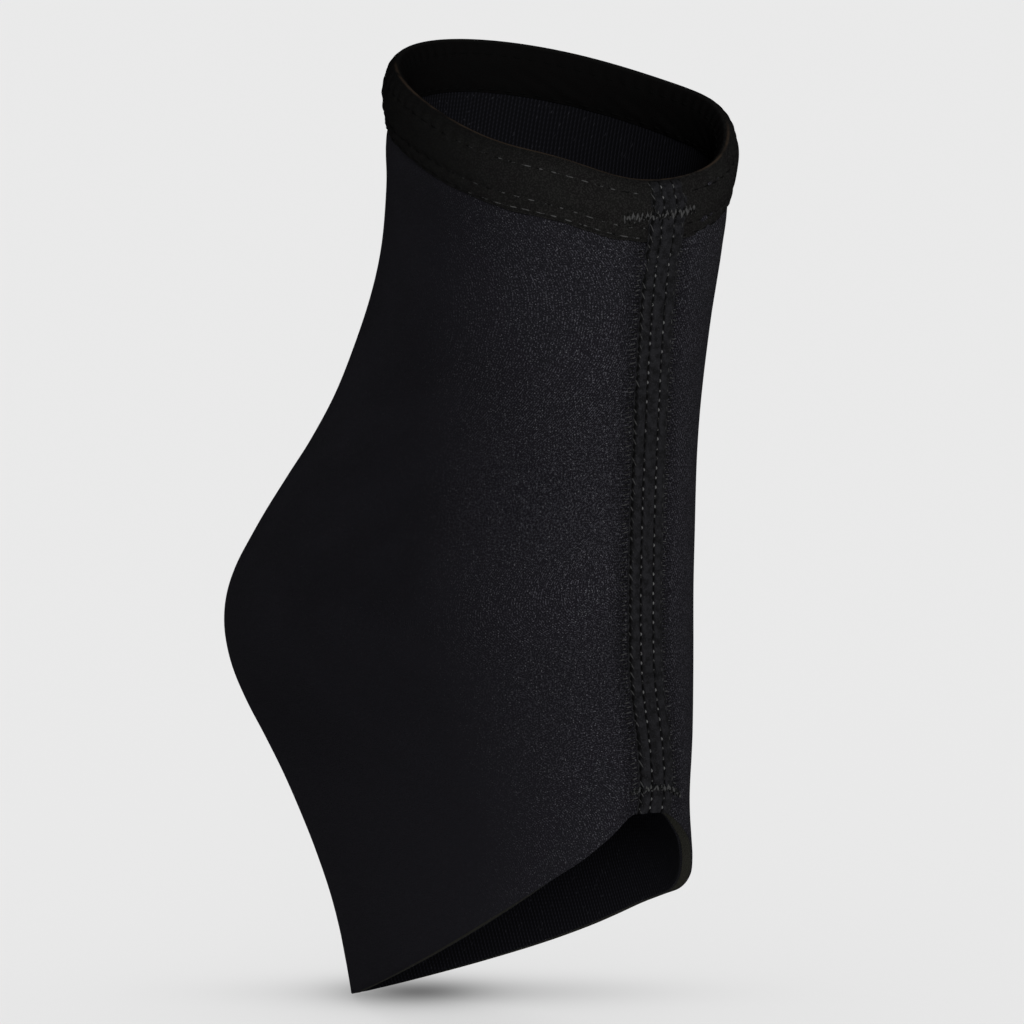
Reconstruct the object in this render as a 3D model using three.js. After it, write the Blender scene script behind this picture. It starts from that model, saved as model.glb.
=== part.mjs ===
import * as THREE from "three";

// A pull-on ankle brace of laminated neoprene, in the shape that a foot gives it.
// Millimetres, +Z up, +X towards the toes, the same on its left and right (+Y and -Y) sides.
// The origin is the middle of the ankle hollow.

// Driving dimensions of the panel's outer face.
const panelHeight = 222; // from the tip of the sole's fold to the highest point of the panel's top edge
const frontReach = 50; // how far the panel's top edge stands in front of the ankle's upright axis
const heelReach = 88; // how far the back of the heel stands behind that axis
const ankleWidth = 83; // from side to side below the ankle bones
const rimRise = 2.8; // how much higher the top edge stands at its sides than between its front and back
const notchDepth = 15; // how far the foot opening is cut down at its sides from the seam's end

// Layers of the wall, from the outside in, and the clearance that each piece keeps to the next.
const shellWall = 2.4;
const liningWall = 0.5;
const layGap = 0.3;
const foldSpread = 0.8; // how far round from the fold's middle, in radians, the wall is squeezed

// The folded tape round the top edge.
const tapeThickness = 0.8;
const outerHem = 10.8; // how far its outer flap reaches down from the panel's edge
const innerHem = 9; // the same on the inside

// The flat seam down the front.
const seamWidth = 10.5;
const seamRise = 0.7;
const seamShoulder = 1.2; // how far its rounded edges reach in
const seamRamp = 5; // the length over which it climbs on to the tape

// Steps of the faceted surfaces.
const turnSteps = 44;
const alongSteps = 24;
const crownSteps = 6;
const hemSteps = 3;
const seamSteps = 36;

// Cross-sections from the top edge to the foot opening. Each is a ring from a front point to a back point.
// front, back: how far these stand before and behind the axis, as shares of frontReach and heelReach
// frontLevel, backLevel: their heights, as shares of panelHeight
// width: the ring's width, as a share of ankleWidth
// crest: how far forward of its middle the ring is widest, as a share of its half depth
// fold: how much narrower than an oval its back half is, and how much fuller its front half
// rise: how high its sides stand over its front and back, as a share of rimRise
// vee: how far its sides fall from the seam in a straight-sided notch, as a share of notchDepth
// squeeze: how much thinner the wall is where it is folded at the back, as a share of the wall
const columns = [
  "front", "frontLevel", "back", "backLevel", "width", "crest", "fold", "rise", "vee", "squeeze",
];
const rows = {
  "top edge": [1.0, 0.378, 0.31, 0.494, 0.9, 0.14, 0, 1, 0, 0],
  "shin": [0.945, 0.333, 0.335, 0.306, 0.92, 0.15, 0, 0.1, 0, 0],
  "tendon": [0.9, 0.26, 0.547, 0.125, 0.92, 0.06, 0.05, 0, 0, 0],
  "ankle bones": [0.865, 0.155, 0.825, 0.004, 0.965, -0.02, 0.1, 0, 0, 0],
  "heel's top": [0.84, 0.027, 0.997, -0.088, 1, -0.05, 0.15, 0, 0, 0],
  "heel's underside": [0.843, -0.094, 0.995, -0.17, 0.95, -0.09, 0.22, 0, 0, 0],
  "sole": [0.898, -0.17, 0.85, -0.272, 0.785, -0.16, 0.35, 0, 0.1, 0],
  "arch": [0.914, -0.212, 0.7, -0.394, 0.64, -0.2, 0.52, 0, 0.5, 0.1],
  "foot opening": [0.895, -0.24, 0.647, -0.506, 0.6, -0.1, 0.65, 0, 1, 0.5],
};
const sections = Object.values(rows).map((row) =>
  Object.fromEntries(columns.map((column, i) => [column, row[i]])),
);

// One smooth line through a triple of values for each cross-section.
function throughSections(triple) {
  const points = sections.map((section) => new THREE.Vector3(...triple(section)));
  return new THREE.CatmullRomCurve3(points, false, "catmullrom", 0.5);
}

const frontLine = throughSections((s) => [s.front * frontReach, 0, s.frontLevel * panelHeight]);
const backLine = throughSections((s) => [-s.back * heelReach, 0, s.backLevel * panelHeight]);
const girthLine = throughSections((s) => [(s.width * ankleWidth) / 2, s.crest, s.fold]);
const edgeLine = throughSections((s) => [s.rise * rimRise, s.vee * notchDepth, s.squeeze]);

// A point of the outer face: along runs from 0 at the top edge to 1 at the foot opening,
// and turn goes round from 0 at the front through half a turn at the back.
function facePoint(along, turn) {
  const front = frontLine.getPoint(along);
  const back = backLine.getPoint(along);
  const [halfWidth, crest, fold] = girthLine.getPoint(along).toArray();
  const [rise, vee] = edgeLine.getPoint(along).toArray();
  const middle = front.clone().add(back).multiplyScalar(0.5);
  const halfDepth = front.clone().sub(middle);
  const side = Math.sin(turn);
  const forward = Math.cos(turn);
  const point = middle.addScaledVector(halfDepth, forward + crest * side * side);
  point.y += halfWidth * side * (1 + fold * forward);
  point.z += rise * side * side - vee * Math.abs(side) * (0.6 + 0.4 * forward);
  return point;
}

// The share of its thickness that the wall keeps: less where the sole's fold squeezes it.
function wallShare(along, turn) {
  const fromFold = Math.abs(Math.PI - turn);
  const squeezed = 1 - THREE.MathUtils.smoothstep(fromFold, 0, foldSpread);
  return 1 - edgeLine.getPoint(along).z * squeezed;
}

// The directions of the face there: down it, round it, and straight out of it.
function faceFrame(along, turn) {
  const step = 1e-3;
  const low = Math.max(0, along - step);
  const high = Math.min(1, along + step);
  const down = facePoint(high, turn).sub(facePoint(low, turn)).normalize();
  const round = facePoint(along, turn + step).sub(facePoint(along, turn - step)).normalize();
  const out = down.clone().cross(round).normalize();
  return { down, round, out };
}

// A point that stands lift millimetres off the face, or inside it where lift is negative.
function liftedPoint(along, turn, lift) {
  return facePoint(along, turn).addScaledVector(faceFrame(along, turn).out, lift);
}

// How far along the face a point lies that is depth millimetres below the top edge.
function alongAtDepth(depth, turn) {
  const step = 0.002;
  let along = 0;
  let walked = 0;
  let last = facePoint(0, turn);
  while (along < 1) {
    const next = facePoint(along + step, turn);
    const stride = next.distanceTo(last);
    if (walked + stride >= depth) return along + (step * (depth - walked)) / stride;
    walked += stride;
    along += step;
    last = next;
  }
  return 1;
}

// How far below the top edge a point of the front line lies.
function depthOnFront(along) {
  const steps = 60;
  let depth = 0;
  for (let i = 1; i <= steps; i++) {
    const a = facePoint((along * (i - 1)) / steps, 0);
    depth += a.distanceTo(facePoint((along * i) / steps, 0));
  }
  return depth;
}

function geometryOf(points, indices) {
  const flat = points.flatMap((point) => point.toArray());
  const geometry = new THREE.BufferGeometry();
  geometry.setAttribute("position", new THREE.Float32BufferAttribute(flat, 3));
  geometry.setIndex(indices);
  geometry.computeVertexNormals();
  return geometry;
}

// A closed profile carried once round the leg. profileAt gives its points at one turn,
// running down the outer side and back up the inner one.
function roundBody(profileAt) {
  const rings = [];
  for (let j = 0; j < turnSteps; j++) rings.push(profileAt((2 * Math.PI * j) / turnSteps));
  const count = rings[0].length;
  const indices = [];
  for (let j = 0; j < turnSteps; j++) {
    for (let k = 0; k < count; k++) {
      const here = j * count;
      const there = ((j + 1) % turnSteps) * count;
      const next = (k + 1) % count;
      indices.push(here + k, here + next, there + next);
      indices.push(here + k, there + next, there + k);
    }
  }
  return geometryOf(rings.flat(), indices);
}

// A closed section carried along a line, with flat ends.
function barBody(sectionsAlong) {
  const count = sectionsAlong[0].length;
  const indices = [];
  for (let i = 0; i + 1 < sectionsAlong.length; i++) {
    for (let k = 0; k < count; k++) {
      const next = (k + 1) % count;
      const here = i * count;
      const there = here + count;
      indices.push(here + k, there + next, here + next);
      indices.push(here + k, there + k, there + next);
    }
  }
  const last = (sectionsAlong.length - 1) * count;
  for (let k = 1; k + 1 < count; k++) {
    indices.push(0, k, k + 1);
    indices.push(last, last + k + 1, last + k);
  }
  return geometryOf(sectionsAlong.flat(), indices);
}

// A layer of the wall between two depths under the outer face, open at the leg and at the foot.
function wallLayer(outerDepth, thickness) {
  return roundBody((turn) => {
    const profile = [];
    const under = (i, depth) => {
      const along = i / alongSteps;
      return liftedPoint(along, turn, -depth * wallShare(along, turn));
    };
    for (let i = 0; i <= alongSteps; i++) profile.push(under(i, outerDepth));
    for (let i = alongSteps; i >= 0; i--) profile.push(under(i, outerDepth + thickness));
    return profile;
  });
}

const wallDepth = shellWall + layGap + liningWall;

// The folded tape: its outer flap, the rounded crown over the edge of the wall, and its inner flap.
function foldedTape() {
  const middle = -wallDepth / 2;
  const innerRadius = wallDepth / 2 + layGap;
  const outerRadius = innerRadius + tapeThickness;
  return roundBody((turn) => {
    const rim = facePoint(0, turn);
    const { down, out } = faceFrame(0, turn);
    const flap = (radius, hem, side, i) =>
      liftedPoint(alongAtDepth((hem * i) / hemSteps, turn), turn, middle + side * radius);
    const crown = (radius, angle) =>
      rim
        .clone()
        .addScaledVector(out, middle + radius * Math.cos(angle))
        .addScaledVector(down, -layGap - radius * Math.sin(angle));
    const profile = [];
    for (let i = crownSteps; i >= 0; i--) profile.push(crown(outerRadius, (Math.PI * i) / crownSteps));
    for (let i = 1; i <= hemSteps; i++) profile.push(flap(outerRadius, outerHem, 1, i));
    for (let i = hemSteps; i >= 1; i--) profile.push(flap(innerRadius, outerHem, 1, i));
    for (let i = 0; i <= crownSteps; i++) profile.push(crown(innerRadius, (Math.PI * i) / crownSteps));
    for (let i = 1; i <= hemSteps; i++) profile.push(flap(innerRadius, innerHem, -1, i));
    for (let i = hemSteps; i >= 1; i--) profile.push(flap(outerRadius, innerHem, -1, i));
    return profile;
  });
}

// The seam lies on the panel and climbs on to the tape's outer flap near the top.
function frontSeam() {
  const onTape = layGap + tapeThickness;
  const edge = seamWidth / 2;
  const shoulder = edge - seamShoulder;
  const across = [-edge, -shoulder, 0, shoulder, edge];
  const rise = [0.5, 1, 1, 1, 0.5];
  const slices = [];
  for (let i = 0; i <= seamSteps; i++) {
    const along = i / seamSteps;
    const toTape = depthOnFront(along) - outerHem - layGap;
    const ramp = 1 - THREE.MathUtils.smoothstep(toTape, 0, seamRamp);
    const base = layGap + onTape * ramp;
    const turnStep = 1e-3;
    const turnPerLength = turnStep / facePoint(along, turnStep).distanceTo(facePoint(along, 0));
    const at = (reach, lift) => liftedPoint(along, reach * turnPerLength, lift);
    const top = across.map((reach, k) => at(reach, base + seamRise * rise[k]));
    const underside = across.map((reach) => at(reach, base)).reverse();
    slices.push([...top, ...underside]);
  }
  return barBody(slices);
}

const finishes = {
  jersey: new THREE.MeshStandardMaterial({ color: 0x1b1a1e, roughness: 0.85, metalness: 0 }),
  ribbedJersey: new THREE.MeshStandardMaterial({ color: 0x0d0d11, roughness: 0.9, metalness: 0 }),
  tape: new THREE.MeshStandardMaterial({ color: 0x191817, roughness: 0.95, metalness: 0 }),
  seam: new THREE.MeshStandardMaterial({ color: 0x1d1c1f, roughness: 0.8, metalness: 0 }),
};

function piece(name, geometry, material) {
  const mesh = new THREE.Mesh(geometry, material);
  mesh.name = name;
  return mesh;
}

const brace = new THREE.Group();
brace.add(piece("neoprene_shell", wallLayer(0, shellWall), finishes.jersey));
brace.add(piece("inner_lining", wallLayer(shellWall + layGap, liningWall), finishes.ribbedJersey));
brace.add(piece("top_binding", foldedTape(), finishes.tape));
brace.add(piece("front_seam", frontSeam(), finishes.seam));

export default brace;
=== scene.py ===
# %% [markdown]
# A pull-on ankle brace of black moulded neoprene, dressed for a picture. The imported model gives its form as
# plain solids. This lesson keeps that form and lays the real cloth over it: the foam panel with its jersey,
# the ribbed lining, the folded tape round the rim, the flat seam down the front and every stitch that
# shows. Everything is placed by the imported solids, so a change of size there is followed here.

# %% Load the fixed frame
import math

import bmesh
import bpy
import numpy as np
from mathutils import Matrix, Vector


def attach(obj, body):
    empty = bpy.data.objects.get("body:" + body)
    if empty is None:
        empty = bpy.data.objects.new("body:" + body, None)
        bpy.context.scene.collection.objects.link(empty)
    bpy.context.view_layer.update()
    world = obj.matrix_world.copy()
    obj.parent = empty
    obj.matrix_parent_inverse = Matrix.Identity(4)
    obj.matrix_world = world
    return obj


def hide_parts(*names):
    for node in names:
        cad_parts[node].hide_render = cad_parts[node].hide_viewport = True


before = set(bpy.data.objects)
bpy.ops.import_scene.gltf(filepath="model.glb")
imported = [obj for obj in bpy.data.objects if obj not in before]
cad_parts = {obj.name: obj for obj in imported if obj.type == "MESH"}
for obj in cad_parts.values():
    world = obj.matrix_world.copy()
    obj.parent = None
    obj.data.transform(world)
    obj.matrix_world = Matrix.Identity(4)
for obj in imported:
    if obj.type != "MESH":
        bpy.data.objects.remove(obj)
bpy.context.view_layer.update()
MM = 0.001
print("nodes:", sorted(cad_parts))

# %% [markdown]
# The camera comes first, because the size of a stitch or a rib in the picture decides how finely it is
# modelled. A long lens from a little over a metre away keeps the tall sleeve free of converging lines, and
# it looks at the near side of the brace, with the front seam towards the right.

# %% Set up the camera
VIEW_AZIMUTH = math.radians(48)
VIEW_ELEVATION = math.radians(9.36)
VIEW_DISTANCE = 1321 * MM
VIEW_TARGET = Vector((-2, 0, 8)) * MM
PICTURE_PIXELS = 1024
FOCAL_PIXELS = 5901
SENSOR_WIDTH = 36


def towards(azimuth, elevation):
    """A direction away from the brace. Azimuth 0 is the wearer's right side and it grows towards the toes."""
    level = math.cos(elevation)
    return Vector((math.sin(azimuth) * level, -math.cos(azimuth) * level, math.sin(elevation)))


camera_data = bpy.data.cameras.new("camera")
camera_data.sensor_width = SENSOR_WIDTH
camera_data.lens = camera_data.sensor_width * FOCAL_PIXELS / PICTURE_PIXELS
camera = bpy.data.objects.new("camera", camera_data)
bpy.context.scene.collection.objects.link(camera)
to_camera = towards(VIEW_AZIMUTH, VIEW_ELEVATION)
camera.location = VIEW_TARGET + to_camera * VIEW_DISTANCE
camera.rotation_euler = to_camera.to_track_quat("Z", "Y").to_euler()
bpy.context.scene.camera = camera
print("pixels per mm:", round(FOCAL_PIXELS / (VIEW_DISTANCE / MM), 2))

# %% [markdown]
# The panel is a tube that changes all the way down: an oval at the calf, a bulge at the heel, a sharp fold
# under the sole. Its solid is a coarse net with six edges at every point. A net like that can be read by
# walking: go straight on at each point, and the walk goes once round the leg, or once down the outside and
# back up the inside. The walk gives the points in rows and columns, which is what a smooth face needs.

# %% Walk through the net of a solid
TINY = 0.01 * MM


def neighbours(vert):
    return {edge.other_vert(vert) for edge in vert.link_edges}


def straight_on(before, here):
    """The next point of a straight walk through a net where six edges meet at each point."""
    met = neighbours(before)
    ahead = neighbours(here) - met - {before}
    return next(v for v in ahead if neighbours(v) & met == {here})


def walk_round(first, second):
    """All points of a straight walk, until it is back where it began."""
    line = [first, second]
    while (following := straight_on(line[-2], line[-1])) != first:
        line.append(following)
    return line


def read_wall(node):
    """A wall's outer and inner face in millimetres, as nets: the first index goes round, the second down."""
    bm = bmesh.new()
    bm.from_mesh(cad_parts[node].data)
    bmesh.ops.remove_doubles(bm, verts=bm.verts, dist=TINY)
    front = {v for v in bm.verts if abs(v.co.y) < TINY and v.co.x > 0}
    corner = max(front, key=lambda v: v.co.x + v.co.z)
    below = min(neighbours(corner) & front, key=lambda v: v.co.z)
    beside = next(v for v in neighbours(corner) - neighbours(below) - {below} if v.co.y > 0)
    rim = walk_round(corner, beside)
    under_rim = [below]
    for last, here in zip(rim, rim[1:]):
        shared = neighbours(under_rim[-1]) & neighbours(last) & neighbours(here)
        under_rim.append(shared.pop())
    lines = [walk_round(first, second) for first, second in zip(rim, under_rim)]
    net = np.array([[v.co[:] for v in line] for line in lines]) / MM
    bm.free()
    half = net.shape[1] // 2
    return net[:, :half], net[:, :half - 1:-1]


shell_outer, shell_inner = read_wall("neoprene_shell")
lining_outer, lining_inner = read_wall("inner_lining")
print("net of the panel's face:", shell_outer.shape)

# %% [markdown]
# Cloth round a leg does not keep to a plain oval. The rim lies back a little at the seam and stands up
# beside it, the far corner of the foot opening hangs squarer, and the seam ends in a short level edge. The
# nets could be sculpted by hand, but a short table says the same in a way that can be read: each row is one
# small push of one to three millimetres. It is given to all four faces of the wall at once, so every piece
# laid on them follows.

# %% Let the cloth settle at the rim and at the foot
RIM_SHARE = 0.16
FOOT_SHARE = 0.2
FADE_POWER = 1.5
WAIST_PLACE = 0.11
WAIST_SPREAD = 0.06
FORWARD, LEFT, UP = range(3)
# Each push: its axis, millimetres, part of the wall, and its place and spread as shares of a turn.
SETTLINGS = [
    (FORWARD, -2.4, "rim", 0.0, 0.08),
    (UP, 3.3, "rim", 0.185, 0.08),
    (UP, 1.98, "rim", 0.88, 0.062),
    (UP, -3.2, "foot", 0.125, 0.038),
    (LEFT, 0.96, "foot", 0.13, 0.04),
    (LEFT, -1.6, "waist", 0.17, 0.08),
    (UP, 0.9, "foot", 0.024, 0.012),
    (UP, 2.7, "foot", 0.972, 0.018),
]


def near_turn(turns, middle, width):
    """1 at a share of a turn, fading away from it on both sides."""
    away = np.mod(turns - middle + 0.5, 1) - 0.5
    return np.exp(-(away / width)**2)


def settle(net):
    turns = np.arange(net.shape[0])[:, None] / net.shape[0]
    down = np.linspace(0, 1, net.shape[1])[None, :]
    parts = {
        "rim": np.clip(1 - down / RIM_SHARE, 0, 1)**FADE_POWER,
        "foot": np.clip((down - (1 - FOOT_SHARE)) / FOOT_SHARE, 0, 1)**FADE_POWER,
        "waist": np.exp(-((down - WAIST_PLACE) / WAIST_SPREAD)**2),
    }
    for axis, millimetres, part, turn, spread in SETTLINGS:
        net[..., axis] += millimetres * parts[part] * near_turn(turns, turn, spread)


for wall_net in (shell_outer, shell_inner, lining_outer, lining_inner):
    settle(wall_net)
print("pushes of the cloth:", len(SETTLINGS))

# %% [markdown]
# Between the points of the net the face is curved, not flat. A Catmull-Rom spline passes through every
# point and bends smoothly between them, so the same weights used round the leg and down it give a smooth
# face that keeps to the solid. Every piece below is placed on this face by three numbers: the share of a
# turn from the front seam, the depth below the rim along the cloth, and the lift off the face.

# %% Make a smooth face through the net
def spline_weights(t):
    return 0.5 * np.stack([
        -t + 2 * t**2 - t**3,
        2 - 5 * t**2 + 3 * t**3,
        t + 4 * t**2 - 3 * t**3,
        -t**2 + t**3,
    ])


def through_net(net, turn, along):
    """Points of the smooth face. Turn goes from 0 to 1 round the leg, along from 0 to 1 down it."""
    round_count, down_count = net.shape[:2]
    above = 2 * net[:, :1] - net[:, 1:2]
    beyond = 2 * net[:, -1:] - net[:, -2:-1]
    padded = np.concatenate([above, net, beyond], axis=1)
    turn, along = np.broadcast_arrays(turn, np.clip(along, 0, 1))
    u = turn * round_count
    v = along * (down_count - 1)
    j = np.floor(u).astype(int)
    k = np.minimum(np.floor(v).astype(int), down_count - 2)
    across = spline_weights(u - j)
    down = spline_weights(v - k)
    total = np.zeros(turn.shape + (3,))
    for a in range(4):
        for b in range(4):
            corner = padded[(j + a - 1) % round_count, k + b]
            total += (across[a] * down[b])[..., None] * corner
    return total


def unit(vectors):
    return vectors / np.linalg.norm(vectors, axis=-1, keepdims=True)


def face_out(turn, along):
    """The direction straight out of the panel's face."""
    step = 1e-3
    down = through_net(shell_outer, turn, along + step) - through_net(shell_outer, turn, along - step)
    turned = through_net(shell_outer, turn + step, along) - through_net(shell_outer, turn - step, along)
    return unit(np.cross(down, turned))


print("front of the rim in mm:", through_net(shell_outer, 0.0, 0.0).round(1))

# %% [markdown]
# A hem or a stitch row keeps its distance from the rim in millimetres of cloth, wherever it runs, and a
# share of the net does not say how long that is. So the face is measured once: many lines are walked down
# it, and a table then turns a depth in millimetres into a share of the way down. The panel's own length and
# the distance round the rim come out of the same walk.

# %% Measure the face in millimetres of cloth
MEASURE_TURNS = 720
MEASURE_ALONGS = 480
DEPTH_STEP = 0.25

measure_turns = np.arange(MEASURE_TURNS) / MEASURE_TURNS
measure_alongs = np.linspace(0, 1, MEASURE_ALONGS + 1)
measured = through_net(shell_outer, measure_turns[:, None], measure_alongs[None, :])
strides = np.linalg.norm(np.diff(measured, axis=1), axis=-1)
walked = np.concatenate([np.zeros((MEASURE_TURNS, 1)), np.cumsum(strides, axis=1)], axis=1)
depth_steps = np.arange(0, walked.max() + DEPTH_STEP, DEPTH_STEP)
along_by_depth = np.array([np.interp(depth_steps, line, measure_alongs) for line in walked])


def from_table(table, turn, column):
    """A value of a table whose rows go round the leg, between its rows and columns."""
    u = np.mod(turn, 1) * table.shape[0]
    v = np.clip(column, 0, table.shape[1] - 1.001)
    j = np.floor(u).astype(int)
    k = np.floor(v).astype(int)
    s = u - j
    t = v - k
    this_row = table[j % table.shape[0], k] * (1 - t) + table[j % table.shape[0], k + 1] * t
    next_row = table[(j + 1) % table.shape[0], k] * (1 - t) + table[(j + 1) % table.shape[0], k + 1] * t
    return this_row * (1 - s) + next_row * s


def along_at(turn, depth):
    turn, depth = np.broadcast_arrays(np.asarray(turn, float), np.asarray(depth, float))
    return from_table(along_by_depth, turn, depth / DEPTH_STEP)


def past_rim(points, turn, depth):
    """Carries points whose depth is negative straight on, past the panel's rim."""
    rim = through_net(shell_outer, turn, 0.0)
    down = unit(through_net(shell_outer, turn, 0.01) - rim)
    return points + down * np.minimum(depth, 0)[..., None]


def on_face(turn, depth, lift=0.0):
    """Points at a depth below the rim, lifted off the panel's face."""
    turn, depth = np.broadcast_arrays(np.asarray(turn, float), np.asarray(depth, float))
    along = along_at(turn, depth)
    points = past_rim(through_net(shell_outer, turn, along), turn, depth)
    return points + face_out(turn, along) * np.asarray(lift)[..., None]


def length_at(turn):
    """How long the panel is from its rim to its cut edge."""
    return from_table(np.repeat(walked[:, -1:], 2, axis=1), np.asarray(turn, float), 0)


FRONT_LENGTH = float(length_at(0.0))
BACK_LENGTH = float(length_at(0.5))
rim_length = np.linalg.norm(np.diff(measured[:, 0], axis=0, append=measured[:1, 0]), axis=-1).sum()
print("panel, front and back length:", round(FRONT_LENGTH, 1), round(BACK_LENGTH, 1))
print("round the rim:", round(float(rim_length), 1))

# %% [markdown]
# Under the face lie the layers of the wall: foam, then the thin ribbed lining. At the fold of the sole the
# wall is squeezed thinner, and the solids already say by how much, so a place inside the wall is read
# between their four faces instead of being pushed in by a fixed amount.

# %% Place points inside the wall
SHELL_INSIDE = 2.4
LINING_OUTSIDE = 2.7
WALL_DEPTH = 3.2
FOAM_DEPTH = 2.55
LINING_DEPTH = 2.62
wall_faces = [shell_outer, shell_inner, lining_outer, lining_inner]
wall_depths = [0.0, SHELL_INSIDE, LINING_OUTSIDE, WALL_DEPTH]


def in_wall(turn, along, inward):
    """Points that lie inward millimetres under the panel's face, by the nominal thickness of its layers."""
    turn, along, inward = np.broadcast_arrays(turn, along, inward)
    faces = [through_net(net, turn, along) for net in wall_faces]
    points = faces[0].copy()
    for upper, lower, start, end in zip(faces, faces[1:], wall_depths, wall_depths[1:]):
        share = np.clip((inward - start) / (end - start), 0, 1)
        points += (lower - upper) * share[..., None]
    return points


print("layers of the wall start at mm:", wall_depths)

# %% [markdown]
# Every cloth here is a sheet that closes on itself, so one helper makes them all. It starts from the grid
# operator, because a grid brings its faces and its order of points along, moves each point to its place and
# welds the edges that meet. It also gives the mesh a map in millimetres of cloth and three attributes,
# which the finishes read later: how deep in the wall a point lies, how much painted light it gets on the
# front side, where the key lamp falls, and how hard it is sewn, which the finishes paint as shade in the
# puckers and grooves.

# %% Turn rows and columns of points into a closed piece
SAME_POINT = 0.002 * MM
# The painted light of the front side: how far back it reaches at each height, how fast it fades, how little
# is left at the back, and how it rises.
LIT_SIDE_HEIGHTS = [-60, 0, 85]
LIT_SIDE_REACHES = [50, 40, 48]
LIT_SIDE_FADE = 34
LIT_SIDE_LEAST = 0.06
LIT_SIDE_POWER = 1.4


def shown(mesh, name):
    piece = bpy.data.objects.new(name, mesh)
    bpy.context.scene.collection.objects.link(piece)
    return piece


def lengths_across(points, axis):
    steps = np.linalg.norm(np.diff(points, axis=axis), axis=-1)
    start = np.zeros_like(np.take(steps, [0], axis=axis))
    return np.concatenate([start, np.cumsum(steps, axis=axis)], axis=axis)


def lit_side_share(x, z):
    """Painted light on the front side: 0 at the back, away from the key lamp, and 1 beside the seam, where it
    falls.
    """
    reach = np.interp(z, LIT_SIDE_HEIGHTS, LIT_SIDE_REACHES)
    return LIT_SIDE_LEAST + (1 - LIT_SIDE_LEAST) * float(np.clip(1 - (reach - x) / LIT_SIDE_FADE, 0, 1))**LIT_SIDE_POWER


def cloth_piece(name, points, inward, beside=0.0, crease_degrees=40):
    """A grid of cloth laid on points[row, column], closed where its edges meet.
    Its UV map is in millimetres of cloth, the attribute inward says how deep in the wall a point lies,
    front how much painted light it gets on the front side, and beside how much the sewing draws the
    cloth together there, which the finishes paint as shade."""
    rows, columns = points.shape[:2]
    bm = bmesh.new()
    bmesh.ops.create_grid(bm, x_segments=columns - 1, y_segments=rows - 1, size=0.5)
    uv = bm.loops.layers.uv.new("cloth")
    depth = bm.verts.layers.float.new("inward")
    front = bm.verts.layers.float.new("front")
    drawn = bm.verts.layers.float.new("beside")
    flat = points.reshape(-1, 3) * MM
    rounded = lengths_across(points, 1).ravel()
    downward = lengths_across(points, 0).ravel()
    inwards = np.broadcast_to(inward, (rows, columns)).ravel()
    besides = np.broadcast_to(beside, (rows, columns)).ravel()
    bm.verts.index_update()
    for vert in bm.verts:
        vert.co = flat[vert.index]
        vert[depth] = inwards[vert.index]
        vert[drawn] = besides[vert.index]
        vert[front] = lit_side_share(vert.co.x / MM, vert.co.z / MM)
    for polygon in bm.faces:
        polygon.smooth = True
        for loop in polygon.loops:
            loop[uv].uv = (rounded[loop.vert.index], downward[loop.vert.index])
    bmesh.ops.remove_doubles(bm, verts=bm.verts, dist=SAME_POINT)
    rim = [edge for edge in bm.edges if edge.is_boundary]
    if rim:
        bmesh.ops.holes_fill(bm, edges=rim, sides=0)
    bmesh.ops.recalc_face_normals(bm, faces=bm.faces)
    mesh = bpy.data.meshes.new(name)
    bm.to_mesh(mesh)
    bm.free()
    mesh.set_sharp_from_angle(angle=math.radians(crease_degrees))
    piece = shown(mesh, name)
    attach(piece, "root")
    print(name, "faces:", len(mesh.polygons))
    return piece


def bell(distance, width):
    return np.exp(-(distance / width)**2)


def eased(value, start, end):
    t = np.clip((value - start) / (end - start), 0, 1)
    return t * t * (3 - 2 * t)


# %% [markdown]
# The panel is one sheet of foam, about 2.5 mm thick, with a brushed jersey on its face. On the worn sleeve
# it is stretched tight, so there are no folds, only a soft unevenness: it sinks beside the seam, where the
# thread pulls it down, it is pressed in along the tape, and it swells a little in between. A grid is laid
# on the smooth face and carried on over the raw-cut edge and back up the inside. Its columns stand closer
# at the front seam and at the fold of the sole, where the form changes fastest.

# %% Lay the panel on the face
PANEL_COLUMNS = 300
PANEL_ROWS = 200
PANEL_BACK_ROWS = 24
PANEL_EDGE_DEPTHS = np.array([0.2, 0.45, 0.9, 1.4, 1.9, 2.35, FOAM_DEPTH])
BACK_STARTS = 0.99
TAPE_HEM = 10.8
EDGE_ROUND = 0.25
CROWDING = 0.35
SMALL_TURN = 0.004
PUCKERS_START = (4, 5.5)
PUCKERS_END = (6.5, 10.5)


def crowded_turns(columns):
    """Shares of a turn from 0 to 1, closer together at the front and at the back."""
    x = np.linspace(0, 1, columns + 1)
    circle = 2 * np.pi
    return x - CROWDING * (np.sin(circle * x) + np.sin(2 * circle * x) / 2) / circle


def turn_length(along):
    """How many millimetres of cloth a whole turn would be, if it were all spaced as beside the front line."""
    beside = through_net(shell_outer, SMALL_TURN, along)
    return np.linalg.norm(beside - through_net(shell_outer, 0.0, along), axis=-1) / SMALL_TURN


def from_seam(turn, along):
    """How far round the cloth a point lies from the front line, positive to the wearer's left."""
    signed = np.mod(turn + 0.5, 1) - 0.5
    return signed * turn_length(along)


def panel_swell(turn, along, depth):
    """The soft unevenness of the stretched panel, in millimetres off its face."""
    side = np.abs(from_seam(turn, along))
    beside_seam = 0.25 * bell(side - 13, 6) - 0.3 * bell(side - 6, 2)
    under_tape = -0.35 * bell(depth - TAPE_HEM, 1.1) + 0.3 * bell(depth - TAPE_HEM - 5, 4)
    angle = 2 * np.pi * turn
    waves = 0.22 * np.sin(3 * angle + depth / 21) * np.sin(depth / 17 + 1.3)
    waves += 0.14 * np.sin(5 * angle - depth / 13 + 0.7)
    waves += 0.08 * np.sin(9 * angle + depth / 8.5) * np.sin(depth / 11 - 0.4)
    return beside_seam + under_tape + waves * eased(side, 4, 16)


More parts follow.
